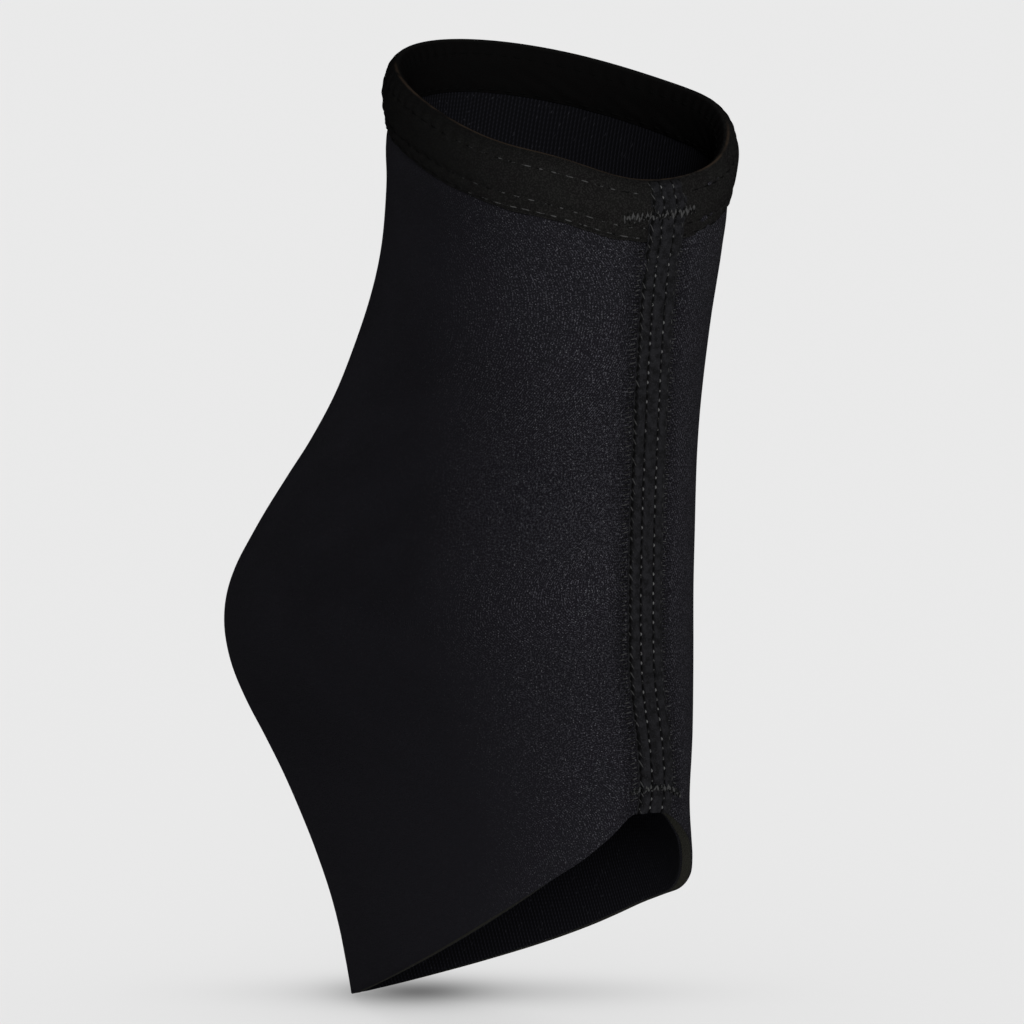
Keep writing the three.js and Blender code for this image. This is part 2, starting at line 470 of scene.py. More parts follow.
def panel_points(turns):
    column = turns[None, :]
    length = length_at(column)
    shares = np.linspace(0, 1, PANEL_ROWS)[:, None]
    depth = shares * (length - EDGE_ROUND)
    along = along_at(column, depth)
    swell = panel_swell(column, along, depth)
    face = through_net(shell_outer, column, along) + face_out(column, along) * swell[..., None]
    edge_along = np.ones((len(PANEL_EDGE_DEPTHS), 1))
    edge = in_wall(column, edge_along, PANEL_EDGE_DEPTHS[:, None])
    kept = (1 - PANEL_EDGE_DEPTHS / FOAM_DEPTH)[:, None, None]
    edge += (face_out(column, np.ones_like(column)) * swell[-1:, :, None]) * kept
    back_along = np.linspace(BACK_STARTS, 0, PANEL_BACK_ROWS)[:, None]
    back = in_wall(column, back_along, FOAM_DEPTH)
    points = np.concatenate([face, edge, back, face[:1]])
    inward = np.concatenate([
        np.zeros(PANEL_ROWS), PANEL_EDGE_DEPTHS, np.full(PANEL_BACK_ROWS, FOAM_DEPTH), [0.0],
    ])
    side = np.abs(from_seam(column, along))
    drawn = eased(side, *PUCKERS_START) * (1 - eased(side, *PUCKERS_END))
    hidden = np.zeros((len(points) - PANEL_ROWS, drawn.shape[1]))
    return points, inward[:, None], np.concatenate([drawn, hidden])


panel = cloth_piece("sleeve_panel", *panel_points(crowded_turns(PANEL_COLUMNS)))

# %% [markdown]
# The lining is a thin ribbed jersey, glued to the inside of the foam. It shows inside the calf opening and
# inside the foot opening, so its inner side gets the dense rows and its hidden side only a few.

# %% Lay the lining inside
LINING_COLUMNS = 220
LINING_ROWS = 120
LINING_BACK_ROWS = 24
LINING_EDGE_DEPTHS = np.array([2.75, 2.95, 3.1])
LINING_STARTS = 0.998


def lining_points(turns):
    column = turns[None, :]
    hidden = in_wall(column, np.linspace(0, 1, LINING_BACK_ROWS)[:, None], LINING_DEPTH)
    edge_along = np.ones((len(LINING_EDGE_DEPTHS), 1))
    edge = in_wall(column, edge_along, LINING_EDGE_DEPTHS[:, None])
    inner_along = np.linspace(LINING_STARTS, 0, LINING_ROWS)[:, None]
    inner = in_wall(column, inner_along, WALL_DEPTH)
    points = np.concatenate([hidden, edge, inner, hidden[:1]])
    inward = np.concatenate([
        np.full(LINING_BACK_ROWS, LINING_DEPTH), LINING_EDGE_DEPTHS,
        np.full(LINING_ROWS, WALL_DEPTH), [LINING_DEPTH],
    ])
    return points, inward[:, None]


lining = cloth_piece("ribbed_lining", *lining_points(crowded_turns(LINING_COLUMNS)))

# %% [markdown]
# A felted tape is folded over the rim and sewn through the wall. The fold is pinched narrow above the first
# row of stitches, and below that row the tape stands off in a soft welt, because the foam springs back.
# Each row draws a groove, deepest at the needle holes. The grid has eight columns to a stitch, so every
# pull gets its own dimple.

# %% Fold the tape over the rim
TAPE_INNER_HEM = 9.0
TAPE_LIFT = 0.9
RIM_PITCH = 3.6
COLUMNS_PER_STITCH = 8
OUTER_ROWS = [0.4, 7.6, 9.9]
INNER_ROWS = [0.4, 8.2]
FOLD_RISE = 2.7
FOLD_PINCH = 1.5
ROW_SHIFT = 0.37
INNER_SWELL = 0.6
TAPE_OUTER_ROWS = 40
TAPE_FOLD_STEPS = 20
TAPE_INNER_ROWS = 24
TAPE_HIDDEN_ROWS = 6
WALL_MIDDLE = -WALL_DEPTH / 2
rim_stitches = round(float(rim_length) / RIM_PITCH)


def hole_pull(turn, number):
    """How hard the thread pulls: 1 at the needle holes between two stitches, 0 in the middle of a stitch."""
    return 0.5 + 0.5 * np.cos(2 * np.pi * (turn * rim_stitches + number * ROW_SHIFT))


def tape_swell(turn, depth, rows, hem):
    """How far the tape's flap stands off or is drawn in, in millimetres."""
    first, second = rows[:2]
    welt = 0.35 * np.sin(np.pi * np.clip((depth - first) / (second - first), 0, 1)**0.8)
    grooves = 0.0
    for number, row in enumerate(rows):
        pull = 0.25 + 0.25 * hole_pull(turn, number)
        grooves = grooves - pull * bell(depth - row, 0.8)
    angle = 2 * np.pi * turn
    lumps = 0.13 * np.sin(17 * angle + depth) * np.sin(depth / 2.3 + 2 * np.sin(5 * angle))
    lumps += 0.12 * np.sin(7 * angle - depth / 3) + 0.07 * np.sin(31 * angle + 1.7 * depth)
    thinned = -0.7 * eased(depth, hem - 0.9, hem)
    return welt + grooves + lumps * eased(depth, 1, 4) + thinned


def outer_lift(turn, depth):
    """How far the tape's outer side stands off the panel's face. Negative depths are on the fold."""
    first = OUTER_ROWS[0]
    at_row = TAPE_LIFT + tape_swell(turn, np.maximum(depth, first), OUTER_ROWS, TAPE_HEM)
    height = np.clip((first - depth) / (first + FOLD_RISE), 0, 1)
    return WALL_MIDDLE + (at_row - WALL_MIDDLE) * np.sqrt(1 - height**2)**FOLD_PINCH


def tape_points(turns):
    column = turns[None, :]
    first = OUTER_ROWS[0]
    outer_hem = TAPE_HEM + 0.12 * np.sin(2 * np.pi * 11 * column) + 0.08 * np.sin(2 * np.pi * 29 * column)
    share = np.linspace(1, 0, TAPE_OUTER_ROWS)[:, None]
    outer_depths = first + (outer_hem - first) * share
    outside = on_face(column, outer_depths, outer_lift(column, outer_depths))

    angles = np.linspace(0, np.pi, TAPE_FOLD_STEPS + 1)[1:-1, None]
    fold_depths = first - (first + FOLD_RISE) * np.sin(angles)
    fold_half = np.sign(np.cos(angles)) * np.abs(np.cos(angles))**FOLD_PINCH
    at_row = TAPE_LIFT + tape_swell(column, first, OUTER_ROWS, TAPE_HEM)
    fold = on_face(column, fold_depths, WALL_MIDDLE + (at_row - WALL_MIDDLE) * fold_half)

    inner_depths = np.linspace(first, TAPE_INNER_HEM, TAPE_INNER_ROWS)[:, None]
    inner_swell = INNER_SWELL * tape_swell(column, inner_depths, INNER_ROWS, TAPE_INNER_HEM)
    inside = on_face(column, inner_depths, 2 * WALL_MIDDLE - TAPE_LIFT - inner_swell)

    share = np.linspace(0, 1, TAPE_HIDDEN_ROWS)[:, None]
    hidden_inner = on_face(column, (1 - share) * (TAPE_INNER_HEM - 0.05), -(WALL_DEPTH + 0.08))
    hidden_outer = on_face(column, share * (outer_hem - 0.05), 0.05)
    points = np.concatenate([outside, fold, inside, hidden_inner, hidden_outer, outside[:1]])
    inward = np.concatenate([
        np.zeros(TAPE_OUTER_ROWS), (1 - np.cos(angles[:, 0])) * WALL_DEPTH / 2,
        np.full(TAPE_INNER_ROWS + TAPE_HIDDEN_ROWS, WALL_DEPTH), np.zeros(TAPE_HIDDEN_ROWS + 1),
    ])
    return points, inward[:, None]


tape_turns = np.linspace(0, 1, rim_stitches * COLUMNS_PER_STITCH + 1)
tape = cloth_piece("rim_tape", *tape_points(tape_turns))
print("stitches round the rim:", rim_stitches)

# %% [markdown]
# The two ends of the panel are butted at the front and joined by a flat seam: four needles side by side and
# a soft band between them. Each needle row sinks into the band, so the band is made as three pillows. It
# climbs on to the tape near the top, because the tape was sewn on first.

# %% Lay the seam band down the front
SEAM_HALF = 5.2
SEAM_PITCH = 2.15
SEAM_HEIGHT = 0.75
SEAM_POINTS_PER_STITCH = 6
SEAM_COLUMNS = 61
SEAM_BACK_COLUMNS = 9
NEEDLES = [-4.6, -1.9, 1.75, 4.4]
TAPE_CLIMB = 4.5
SEAM_START = -2.3
seam_stitches = round((FRONT_LENGTH - SEAM_START) / SEAM_PITCH)


def seam_base(depth):
    """How high the cloth under the seam stands: the panel's face, or the tape over it."""
    on_tape = 1 - eased(depth, TAPE_HEM - 0.6, TAPE_HEM - 0.6 + TAPE_CLIMB)
    return outer_lift(0.0, np.minimum(depth, TAPE_HEM - 1.5)) * on_tape


def needle_pull(depth):
    """How hard the thread pulls: 1 at the needle holes, 0 in the middle of a stitch."""
    return 0.5 + 0.5 * np.cos(2 * np.pi * (depth - SEAM_START) / SEAM_PITCH)


def seam_top(across, depth):
    """How high the top of the band stands off the panel's face."""
    pull = needle_pull(depth)
    height = SEAM_HEIGHT * (1 - eased(np.abs(across), SEAM_HALF - 1.1, SEAM_HALF))
    for needle in NEEDLES:
        height = height - (0.38 + 0.22 * pull) * bell(across - needle, 0.42)
    height = height + 0.1 * np.sin(depth * 1.9 + across) * np.sin(depth * 0.7 - across * 0.9)
    return seam_base(depth) + np.maximum(height, 0.0) + 0.06


def turn_across(across, along):
    """The share of a turn that lies across millimetres from the front line."""
    return np.asarray(across) / turn_length(along)


def on_seam(across, depth, lift):
    """Points beside or on the front line, by their depth along that line."""
    along = along_at(np.zeros_like(depth), depth)
    turn = turn_across(across, along)
    points = past_rim(through_net(shell_outer, turn, along), turn, depth)
    return points + face_out(turn, along) * np.asarray(lift)[..., None]


def seam_points():
    steps = seam_stitches * SEAM_POINTS_PER_STITCH
    depth = np.linspace(SEAM_START, FRONT_LENGTH, steps + 1)[:, None]
    across = np.linspace(-SEAM_HALF, SEAM_HALF, SEAM_COLUMNS)[None, :]
    top_across, top_depth = np.broadcast_arrays(across, depth)
    top = on_seam(top_across, top_depth, seam_top(across, depth))
    back = np.linspace(SEAM_HALF, -SEAM_HALF, SEAM_BACK_COLUMNS)[None, 1:-1]
    back_across, back_depth = np.broadcast_arrays(back, depth)
    floor = np.broadcast_to(seam_base(depth) * 0.98 - 0.1, back_depth.shape)
    under = on_seam(back_across, back_depth, floor)
    pull = needle_pull(depth)
    # How dark each needle groove is painted as shade, deepest at the needle holes.
    groove = sum((0.45 + 0.55 * pull) * bell(across - needle, 0.38) for needle in NEEDLES)
    hidden = np.zeros((steps + 1, back.shape[1] + 1))
    dark = np.concatenate([np.minimum(groove, 1), hidden], axis=1)
    return np.concatenate([top, under, top[:, :1]], axis=1), 0.0, dark


seam = cloth_piece("seam_band", *seam_points(), crease_degrees=60)
print("stitches down one needle row:", seam_stitches)

# %% [markdown]
# A stitch is a short piece of thread that comes up through one hole and goes down through the next. One is
# modelled as a small bent bead with a few dozen faces. It is then copied along each row, turned and
# stretched from hole to hole.

# %% Model one stitch
def stitch_shape():
    bm = bmesh.new()
    bmesh.ops.create_uvsphere(bm, u_segments=6, v_segments=7, radius=0.5)
    for vert in bm.verts:
        x, y, z = vert.co
        fuller = 1.25 - 0.5 * abs(2 * z)**3
        vert.co = (z, y * fuller, x * fuller - 1.6 * z**2)
    mesh = bpy.data.meshes.new("stitch")
    bm.to_mesh(mesh)
    bm.free()
    return mesh


one_stitch = stitch_shape()
print("faces of one stitch:", len(one_stitch.polygons))

# %% [markdown]
# A modifier could spread the beads along a curve, but then they could not be uneven in a way that is easy
# to steer. Here each row is three lists instead: where its stitches start, where they end and which way is
# out. The bead is copied between each start and end, and all copies of a row become one piece.


# %% Copy the stitch along rows
def sewn_piece(name, starts, ends, outs, thickness):
    """One piece of many stitches, each between a start and an end in millimetres, and on its outward side."""
    bm = bmesh.new()
    for start, end, out in zip(starts, ends, outs):
        forward = Vector(end - start)
        length = forward.length
        forward.normalize()
        up = Vector(out)
        side = up.cross(forward).normalized()
        up = forward.cross(side)
        place = Matrix((forward * length, side * thickness, up * thickness)).transposed().to_4x4()
        place.translation = Vector((start + end) / 2)
        before = len(bm.verts)
        bm.from_mesh(one_stitch)
        bm.verts.ensure_lookup_table()
        bmesh.ops.transform(bm, matrix=Matrix.Scale(MM, 4) @ place, verts=bm.verts[before:])
    for polygon in bm.faces:
        polygon.smooth = True
    bmesh.ops.recalc_face_normals(bm, faces=bm.faces)
    mesh = bpy.data.meshes.new(name)
    bm.to_mesh(mesh)
    bm.free()
    piece = shown(mesh, name)
    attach(piece, "root")
    print(name, "stitches:", len(starts), "faces:", len(mesh.polygons))
    return piece


def joined(rows):
    """The starts, ends and outward sides of several rows, one row after another."""
    return [np.concatenate(part) for part in zip(*rows)]


# %% [markdown]
# Three rows of stitches run round the outer side of the tape and two round the inner side. A machine row is
# never quite even, so each stitch gets its own small error in length and in depth, from a sine of its
# place. The rows stop where the seam band crosses them.

# %% Sew the rows round the rim
THREAD = 0.30
THREAD_SHOWS = 0.09
STITCH_SHARE = 0.62
SEAM_CLEAR = 6.0


def rim_row(depth, rows, hem, inside):
    """The stitches of one row of the tape, each between two needle holes."""
    number = rows.index(depth)
    holes = (np.arange(rim_stitches) - number * ROW_SHIFT) / rim_stitches
    unsteady = np.sin(holes * 911 + number) * 0.5 + np.sin(holes * 2311) * 0.5
    half = 0.5 * STITCH_SHARE * (1 + 0.25 * unsteady) / rim_stitches
    middle = holes + (0.5 + 0.08 * unsteady) / rim_stitches
    depth_here = depth + 0.12 * np.sin(holes * 1733 + number)
    ends_at = []
    for turn in (middle - half, middle + half):
        if inside:
            swell = INNER_SWELL * tape_swell(turn, depth_here, rows, hem)
            lift = 2 * WALL_MIDDLE - TAPE_LIFT - swell - THREAD_SHOWS
        else:
            lift = outer_lift(turn, depth_here) + THREAD_SHOWS
        ends_at.append(on_face(turn, depth_here, lift))
    along = along_at(middle, depth)
    out = face_out(middle, along) * (-1 if inside else 1)
    sewn = np.abs(from_seam(middle, along)) > SEAM_CLEAR
    return ends_at[0][sewn], ends_at[1][sewn], out[sewn]


outer_rows = [rim_row(depth, OUTER_ROWS, TAPE_HEM, False) for depth in OUTER_ROWS]
inner_rows = [rim_row(depth, INNER_ROWS, TAPE_INNER_HEM, True) for depth in INNER_ROWS]
rim_thread = sewn_piece("rim_stitches", *joined(outer_rows), THREAD)
inner_thread = sewn_piece("inner_rim_stitches", *joined(inner_rows), THREAD)

# %% [markdown]
# The flat seam is sewn with four needles at once. The two middle rows show as short bright stitches in
# their grooves. The two outer rows are drawn down by the thin cover thread, which loops over the edge of
# the band on to the panel, so they are made in that thread and belong to the same piece as the loops.

# %% Sew the four needle rows of the seam
SEAM_THREAD = 0.34
LOOP_THREAD = 0.24
LOOP_LIFT = 0.05
SHORT_STITCH = 0.38


def needle_row(across, slant, share):
    """The stitches of one needle row down the seam. Slant leans each stitch across the row."""
    middle = SEAM_START + (np.arange(seam_stitches) + 0.5) * SEAM_PITCH
    middle = middle[(middle > SEAM_START + 1) & (middle < FRONT_LENGTH - 0.8)]
    half = share * SEAM_PITCH / 2
    ends_at = []
    for sign in (-1, 1):
        depth = middle + sign * half
        offset = np.full_like(depth, across) + sign * slant
        ends_at.append(on_seam(offset, depth, seam_top(offset, depth) + 0.12))
    along = along_at(np.zeros_like(middle), middle)
    return ends_at[0], ends_at[1], face_out(turn_across(across, along), along)


def edge_loops(near, far, seed):
    """Thin loops of the cover thread, which cross the band's edge and lie on the panel beside it."""
    depth = np.arange(TAPE_HEM + 1.5, FRONT_LENGTH - 4, SEAM_PITCH / 2)
    unsteady = np.sin(depth * 7.3 + seed) * 0.5 + np.sin(depth * 17.9 + seed) * 0.5
    ends_at = []
    for across, share in ((near, 0.0), (far, 0.6)):
        offset = across + (far - near) * share * 0.4 * unsteady
        level = depth + 0.35 * share + 0.15 * unsteady
        ends_at.append(on_seam(offset, level, np.full_like(depth, LOOP_LIFT)))
    along = along_at(np.zeros_like(depth), depth)
    return ends_at[0], ends_at[1], face_out(turn_across(near, along), along)


middle_rows = [needle_row(needle, slant=0.0, share=SHORT_STITCH) for needle in NEEDLES[1:3]]
seam_rows = sewn_piece("seam_stitches", *joined(middle_rows), SEAM_THREAD)
cover_rows = [
    edge_loops(near=-5.1, far=-6.9, seed=0.0),
    edge_loops(near=5.1, far=6.6, seed=2.0),
    needle_row(NEEDLES[0], slant=0.45, share=0.95),
    needle_row(NEEDLES[3], slant=-0.12, share=0.5),
]
seam_loops = sewn_piece("seam_edge_loops", *joined(cover_rows), LOOP_THREAD)

# %% [markdown]
# A bartack locks each end of the seam. It is a dense zigzag across the band, sewn last and in a thicker
# thread, so it lies on top of everything. The upper one reaches far out on the tape and the lower one
# slants a little.

# %% Sew the bartacks across both ends of the seam
TACK_THREAD = 0.42
TACK_LIFT = 0.22
TACK_LEAN = 0.22
TOP_TACK_DEPTH = 5.2
LOW_TACK_DEPTH = FRONT_LENGTH - 6.5


def bartack(depth, left, right, rise, strokes, tall):
    """A dense zigzag across the seam, from left to right millimetres beside the front line."""
    places = np.linspace(left, right, strokes)
    line = depth + rise * (places - left) / (right - left)
    line = line + 0.25 * np.sin(places * 5.1)
    lean = TACK_LEAN * np.where(np.arange(strokes) % 2 == 0, 1.0, -1.0)
    top_at, low_at = line - tall / 2, line + tall / 2
    starts = on_seam(places - lean, top_at, seam_top(places - lean, top_at) + TACK_LIFT)
    ends = on_seam(places + lean, low_at, seam_top(places + lean, low_at) + TACK_LIFT)
    along = along_at(np.zeros_like(line), line)
    return starts, ends, face_out(turn_across(places, along), along)


top_tack = bartack(TOP_TACK_DEPTH, left=-12.0, right=7.8, rise=-1.0, strokes=33, tall=1.9)
low_tack = bartack(LOW_TACK_DEPTH, left=-6.9, right=7.9, rise=1.4, strokes=25, tall=1.5)
tacks = sewn_piece("bartacks", *joined([top_tack, low_tack]), TACK_THREAD)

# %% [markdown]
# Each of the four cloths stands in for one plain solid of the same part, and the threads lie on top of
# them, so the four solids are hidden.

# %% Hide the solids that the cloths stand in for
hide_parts("neoprene_shell")
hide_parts("inner_lining")
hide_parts("top_binding")
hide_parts("front_seam")

# %% [markdown]
# Every finish here is a black cloth, so they differ only in small things: the grain of the knit, the way it
# scatters light, and a trace of blue or brown. A finish is a node tree, and the short helper below keeps
# each tree readable: add a node, give its inputs a number or the output of another node.

# %% Write finishes in a short way
class Finish:
    """A material under construction."""

    def __init__(self, name, roughness, specular=0.1, sheen=0.0, sheen_roughness=0.5):
        self.material = bpy.data.materials.new(name)
        self.material.use_nodes = True
        self.tree = self.material.node_tree
        self.shader = self.tree.nodes["Principled BSDF"]
        self.shader.inputs["Roughness"].default_value = roughness
        self.shader.inputs["Specular IOR Level"].default_value = specular
        self.shader.inputs["Sheen Weight"].default_value = sheen
        self.shader.inputs["Sheen Roughness"].default_value = sheen_roughness

    def add(self, kind, inputs, **settings):
        """A new node. Each input is a number, a colour or another node's output."""
        node = self.tree.nodes.new("ShaderNode" + kind)
        for key, value in settings.items():
            setattr(node, key, value)
        for key, value in inputs.items():
            self.set(node.inputs[key], value)
        return node

    def set(self, socket, value):
        if isinstance(value, bpy.types.NodeSocket):
            self.tree.links.new(value, socket)
        else:
            socket.default_value = value

    def math(self, operation, *values):
        return self.add("Math", dict(enumerate(values)), operation=operation).outputs[0]

    def times(self, product, *factors):
        """The product of several values."""
        for factor in factors:
            product = self.math("MULTIPLY", product, factor)
        return product

    def rest_of(self, share):
        """What is left of 1."""
        return self.math("SUBTRACT", 1.0, share)

    def blend(self, share, first, second):
        """A colour between two, by a share from 0 to 1."""
        node = self.tree.nodes.new("ShaderNodeMix")
        node.data_type = "RGBA"
        colour_sockets = [s for s in node.inputs if s.type == "RGBA"]
        self.set(node.inputs[0], share)
        self.set(colour_sockets[0], first)
        self.set(colour_sockets[1], second)
        return next(s for s in node.outputs if s.type == "RGBA")

    def turned(self, source, degrees, scale):
        """The source's coordinates, turned in the cloth and scaled."""
        mapping = self.add("Mapping", {"Vector": source}, vector_type="POINT")
        mapping.inputs["Rotation"].default_value = (0, 0, math.radians(degrees))
        mapping.inputs["Scale"].default_value = scale
        return mapping.outputs[0]

    def ramp(self, value, start, end):
        """0 below the start, 1 above the end, and smooth between them."""
        node = self.add(
            "MapRange", {"Value": value, "From Min": start, "From Max": end}, interpolation_type="SMOOTHSTEP",
        )
        return node.outputs[0]

    def bump(self, height, distance_mm):
        inputs = {"Height": height, "Distance": distance_mm * MM, "Strength": 1.0}
        return self.add("Bump", inputs).outputs[0]

    def noise(self, source, scale, detail=2.0, roughness=0.5):
        inputs = {"Vector": source, "Scale": scale, "Detail": detail, "Roughness": roughness}
        return self.add("TexNoise", inputs).outputs[0]

    def waves(self, source, scale, distortion=0.0, detail_scale=1.0):
        """Bands along the source's first axis, scale of them to about each six millimetres."""
        inputs = {"Vector": source, "Scale": scale, "Distortion": distortion, "Detail Scale": detail_scale}
        return self.add("TexWave", inputs, wave_type="BANDS", bands_direction="X").outputs["Fac"]

    def cells(self, source, scale):
        """A cell pattern: the distance to each cell's middle, and a random value for each cell."""
        node = self.add("TexVoronoi", {"Vector": source, "Scale": scale, "Randomness": 1.0})
        chance = self.add("SeparateColor", {"Color": node.outputs["Color"]}).outputs[0]
        return node.outputs["Distance"], chance

    def cloth_map(self):
        return self.add("UVMap", {}, uv_map="cloth").outputs[0]

    def object_place(self):
        return self.add("TexCoord", {}).outputs["Object"]

    def attribute(self, name):
        """One of the three values that each point of a cloth carries: inward, front or beside."""
        return self.add("Attribute", {}, attribute_name=name).outputs["Fac"]

    def finish(self, colour, normal=None):
        self.set(self.shader.inputs["Base Color"], colour)
        if normal is not None:
            self.set(self.shader.inputs["Normal"], normal)
        return self.material


def grey(value, red=1.0, blue=1.0):
    """A near-neutral colour, a little warmer or cooler, with its lightness in linear light."""
    return (value * red, value, value * blue, 1.0)


# %% [markdown]
# The jersey on the panel is a fine knit. Its loops stand in slanting rows a little over half a millimetre
# apart. Beside the seam, on the front side where the key lamp falls, the rows get painted highlights, and
# there the same pattern drives both the colour and the relief. Single fibres stand up, and painted highlights
# on them show as tiny specks, fewer of them beyond the seam. Towards the heel, away from the key lamp, the
# painted highlights fade and the colour stays quiet; it is a little lighter towards the foot. The puckers
# beside the seam are painted darker as shade. The raw edge shows the olive-black foam. A picture of cloth
# could be laid on instead, but noise and waves in millimetres stay sharp from any distance.

# %% Finish of the outer jersey
def jersey_finish():
    f = Finish("outer_jersey", roughness=0.9, specular=0.0, sheen=0.008, sheen_roughness=0.3)
    cloth = f.cloth_map()
    wander = f.add("TexNoise", {"Vector": cloth, "Scale": 0.12, "Detail": 2.0}).outputs["Color"]
    shifted = f.add("VectorMath", {0: wander, "Scale": 1.2}, operation="SCALE").outputs[0]
    moved = f.add("VectorMath", {0: cloth, 1: shifted}, operation="ADD").outputs[0]
    rows = f.waves(f.turned(moved, 32, (1, 1, 1)), 0.48, distortion=1.2, detail_scale=3.0)
    place = f.object_place()
    fibre = f.noise(place, 3000, detail=2.0, roughness=0.7)
    distance, chance = f.cells(place, 2500)
    _, left, up = f.add("SeparateXYZ", {0: place}).outputs
    # Painted highlights: specks on single fibres, fewer on the far side beyond the seam.
    far_side_no_glints = f.math("MULTIPLY", f.ramp(left, 0.005, 0.013), 0.6)
    near_middle = f.rest_of(f.ramp(distance, 0.12, 0.40))
    raised_glints = f.times(f.ramp(chance, 0.76, 0.95), near_middle, f.rest_of(far_side_no_glints))
    patches = f.noise(cloth, 0.05, detail=3.0)
    foam = f.ramp(f.attribute("inward"), 0.35, 0.6)
    darker = grey(0.0064, red=1.04, blue=1.24)
    lighter = grey(0.0074, red=1.04, blue=1.26)
    quiet = f.blend(f.ramp(patches, 0.3, 0.7), darker, lighter)
    below = f.math("MULTIPLY", up, -1.0)
    quiet = f.blend(f.ramp(below, 0.0, 0.08), quiet, grey(0.0094, red=1.04, blue=1.24))
    # Painted light: the front side, where the key lamp falls, is a little lighter, and the painted highlights
    # of the rows and specks are laid only there.
    from_front = f.attribute("front")
    colour = f.blend(from_front, quiet, grey(0.0078, red=1.04, blue=1.24))
    grain = f.ramp(f.noise(place, 3100, detail=0.0), 0.42, 0.66)
    row_light = f.math("ADD", 0.2, f.math("MULTIPLY", f.ramp(rows, 0.2, 0.8), 0.95))
    lit_rows = f.math("MULTIPLY", grain, row_light)
    colour = f.blend(f.math("MULTIPLY", lit_rows, from_front), colour, grey(0.045, red=1.02, blue=1.2))
    colour = f.blend(f.math("MULTIPLY", raised_glints, from_front), colour, grey(0.175, red=1.0, blue=1.1))
    pores = f.noise(place, 1500, detail=2.0)
    foam_colour = f.blend(pores, (0.012, 0.0118, 0.0097, 1), (0.025, 0.0245, 0.020, 1))
    colour = f.blend(foam, colour, foam_colour)
    beside = f.attribute("beside")
    pucker = f.waves(f.turned(moved, 90, (1, 1, 1)), 0.38, distortion=1.5, detail_scale=1.5)
    pucker = f.math("MULTIPLY", beside, f.ramp(pucker, 0.2, 0.8))
    # Painted shade in the puckers beside the seam.
    colour = f.blend(f.math("MULTIPLY", pucker, 0.38), colour, grey(0.0040, blue=1.2))
    fibres = f.math("ADD", fibre, f.math("MULTIPLY", raised_glints, 0.6))
    height = f.math("ADD", f.math("MULTIPLY", lit_rows, 0.8), fibres)
    height = f.math("SUBTRACT", height, f.math("MULTIPLY", pucker, 1.2))
    return f.finish(colour, f.bump(height, 0.3))


panel.data.materials.append(jersey_finish())

# %% [markdown]
# The lining is knitted in fine upright ribs, less than a millimetre apart, and each rib is a chain of loops
# that looks like a dotted line. It is the darkest cloth here.

# %% Finish of the ribbed lining
def lining_finish():
    f = Finish("ribbed_lining", roughness=0.9, specular=0.02)
    cloth = f.cloth_map()
    ribs = f.waves(cloth, 0.36, distortion=0.4, detail_scale=2.0)
    loops = f.waves(f.turned(cloth, 90, (1, 1, 1)), 0.34, distortion=1.2, detail_scale=2.0)
    fibre = f.noise(cloth, 2.5, detail=2.0)
    dots = f.math("MULTIPLY", f.ramp(ribs, 0.35, 0.9), f.math("ADD", 0.3, f.math("MULTIPLY", loops, 0.7)))
    distance, chance = f.cells(cloth, 1.3)
    speck = f.math("MULTIPLY", f.ramp(chance, 0.8, 0.96), f.rest_of(f.ramp(distance, 0.1, 0.35)))
    colour = f.blend(dots, grey(0.0032, blue=1.25), grey(0.0095, blue=1.3))
    colour = f.blend(f.math("MULTIPLY", speck, 0.5), colour, grey(0.032, blue=1.2))
    height = f.math("ADD", f.math("MULTIPLY", dots, 0.8), f.math("MULTIPLY", fibre, 0.3))
    return f.finish(colour, f.bump(height, 0.18))


lining.data.materials.append(lining_finish())

# %% [markdown]
# The tape is felted: short fibres lie in all directions, so it has no clear weave, only a soft mottle in
# olive and brown blacks, painted a little lighter on the front side where the key lamp falls. Along the
# crown of the fold, towards the front right, a thin brown line is a painted highlight, and the inner flap
# is painted darker as shade.

# %% Finish of the tape
def tape_finish():
    f = Finish("binding_tape", roughness=0.95, specular=0.0)
    cloth = f.cloth_map()
    mottle = f.noise(cloth, 0.12, detail=5.0, roughness=0.6)
    from_front = f.attribute("front")
    fibre = f.noise(f.turned(cloth, 60, (1.0, 3.0, 1.0)), 1.8, detail=3.0, roughness=0.65)
    # Painted light: the olive and brown blacks and the grain are a little lighter on the front side, where
    # the key lamp falls.
    olive = f.blend(from_front, grey(0.0056, red=1.0, blue=0.97), grey(0.0078, red=1.0, blue=0.95))
    brown = f.blend(from_front, grey(0.0052, red=1.03, blue=1.0), grey(0.0062, red=1.08, blue=1.0))
    colour = f.blend(f.ramp(mottle, 0.35, 0.65), brown, olive)
    grain = f.ramp(f.noise(f.object_place(), 2800, detail=0.0), 0.42, 0.7)
    share = f.math("MULTIPLY", grain, f.math("ADD", 0.1, f.math("MULTIPLY", from_front, 0.9)))
    colour = f.blend(share, colour, grey(0.0132, red=1.03, blue=0.97))
    depth = f.attribute("inward")
    # A painted highlight: a thin brown line along the crown of the fold, on the side towards the front right.
    fold_crown = f.math("MULTIPLY", f.ramp(depth, 0.95, 1.3), f.rest_of(f.ramp(depth, 1.7, 2.2)))
    forward, left, _ = f.add("SeparateXYZ", {0: f.object_place()}).outputs
    front_right = f.math("SUBTRACT", f.math("MULTIPLY", forward, 0.74), f.math("MULTIPLY", left, 0.67))
    fold_highlight = f.times(fold_crown, f.ramp(front_right, 0.004, 0.012), f.ramp(mottle, 0.3, 0.6))
    colour = f.blend(fold_highlight, colour, (0.030, 0.0215, 0.0155, 1))
    # Painted shade on the inner flap, inside the rim.
    colour = f.blend(f.ramp(depth, 2.2, 2.7), colour, grey(0.0032, red=1.05))
    height = f.math("ADD", fibre, f.math("MULTIPLY", mottle, 0.8))
    return f.finish(colour, f.bump(height, 0.22))


tape.data.materials.append(tape_finish())
